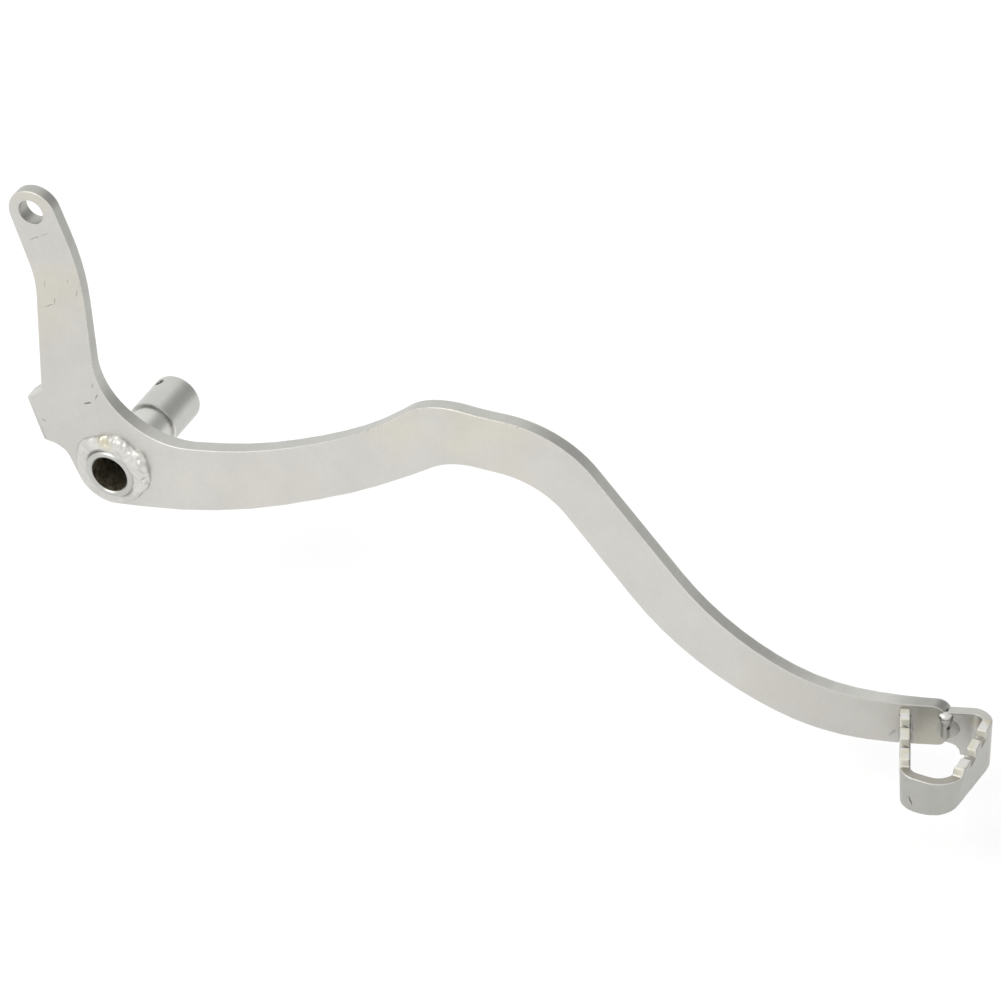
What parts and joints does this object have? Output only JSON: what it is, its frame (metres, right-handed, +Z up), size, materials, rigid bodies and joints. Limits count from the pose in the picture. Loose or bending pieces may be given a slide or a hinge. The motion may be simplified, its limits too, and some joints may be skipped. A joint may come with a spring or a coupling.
{
  "type": "rear brake pedal",
  "caption": "Rear brake pedal: cranked steel plate lever on a pivot tube, with a rod eye on its short arm and a toothed folded foot tread.",
  "frame": {"origin": "on the axis of the pivot bore, in the middle of the plate's thickness", "axes": "+X forward from the pivot to the foot tread, +Y inward to the motorbike's frame, +Z up"},
  "size_m": [0.3134, 0.0503, 0.1294],
  "materials": {
    "plate_steel": "satin",
    "tube_steel": "satin",
    "tread_steel": "satin",
    "weld_metal": "satin"
  },
  "bodies": {
    "root": {"rod_arm": "plate_steel", "lever_arm": "plate_steel", "pivot_tube": "tube_steel", "tread_loop": "tread_steel", "pivot_weld_outer": "weld_metal", "pivot_weld_inner": "weld_metal", "tread_end_weld": "weld_metal", "tread_leg_weld": "weld_metal"}
  },
  "joints": []
}
